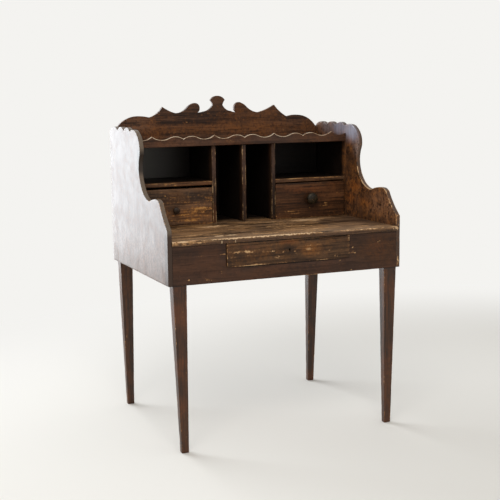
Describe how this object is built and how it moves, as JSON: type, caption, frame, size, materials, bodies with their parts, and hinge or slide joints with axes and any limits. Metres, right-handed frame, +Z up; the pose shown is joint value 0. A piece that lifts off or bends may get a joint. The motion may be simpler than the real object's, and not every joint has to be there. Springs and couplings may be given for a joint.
{
  "type": "bonheur du jour writing desk",
  "caption": "Writing desk on tapered legs with a frieze drawer and, between scroll-sawn sides, a raised nest of pigeonholes and small drawers under a shaped crest.",
  "frame": {"origin": "on the floor, under the middle of the overall box", "axes": "+Z up, -Y to the front where the sitter is, +X to the right as seen from the front"},
  "size_m": [0.876, 0.653, 1.1879],
  "materials": {
    "stained_pine": "dark brown stain under worn satin varnish",
    "worn_top": "dark stain worn through to golden pine along the grain",
    "bare_pine": "unfinished, darkened with age",
    "knob_wood": "turned, near-black polish",
    "lock_iron": "dark rusted iron"
  },
  "bodies": {
    "case": {"side_left": "stained_pine", "side_right": "stained_pine", "front_apron": "stained_pine", "rear_apron": "stained_pine", "desk_front_board": "worn_top", "desk_back_board": "worn_top", "back_board": "stained_pine", "crest_board": "stained_pine", "leg_front_left": "stained_pine", "leg_front_right": "stained_pine", "leg_back_right": "stained_pine", "leg_back_left": "stained_pine", "cabinet_top": "stained_pine", "gallery_rail": "stained_pine", "divider_centre": "stained_pine", "divider_left": "stained_pine", "divider_right": "stained_pine", "shelf_left": "stained_pine", "shelf_right": "stained_pine", "runner_left": "bare_pine", "runner_right": "bare_pine", "guide_left": "bare_pine", "guide_right": "bare_pine", "drawer_stop_left": "bare_pine", "drawer_stop_right": "bare_pine"},
    "main_drawer": {"main_drawer_front": "stained_pine", "main_drawer_side_left": "bare_pine", "main_drawer_side_right": "bare_pine", "main_drawer_back": "bare_pine", "main_drawer_bottom": "bare_pine", "lock_case": "lock_iron"},
    "lock_bolt": {"lock_bolt": "lock_iron"},
    "left_drawer": {"left_nest_drawer_front": "stained_pine", "left_nest_drawer_side_left": "bare_pine", "left_nest_drawer_side_right": "bare_pine", "left_nest_drawer_back": "bare_pine", "left_nest_drawer_bottom": "bare_pine", "left_knob": "knob_wood"},
    "right_drawer": {"right_nest_drawer_front": "stained_pine", "right_nest_drawer_side_left": "bare_pine", "right_nest_drawer_side_right": "bare_pine", "right_nest_drawer_back": "bare_pine", "right_nest_drawer_bottom": "bare_pine", "right_knob": "knob_wood"}
  },
  "joints": [
    {"name": "main_drawer_slide", "type": "slide", "parent": "case", "child": "main_drawer", "axis": [0, -1, 0], "range_m": [0, 0.36]},
    {"name": "left_drawer_slide", "type": "slide", "parent": "case", "child": "left_drawer", "axis": [0, -1, 0], "range_m": [0, 0.18]},
    {"name": "right_drawer_slide", "type": "slide", "parent": "case", "child": "right_drawer", "axis": [0, -1, 0], "range_m": [0, 0.18]},
    {"name": "lock_bolt_throw", "type": "slide", "parent": "main_drawer", "child": "lock_bolt", "axis": [0, 0, 1], "range_m": [0, 0.007]}
  ]
}
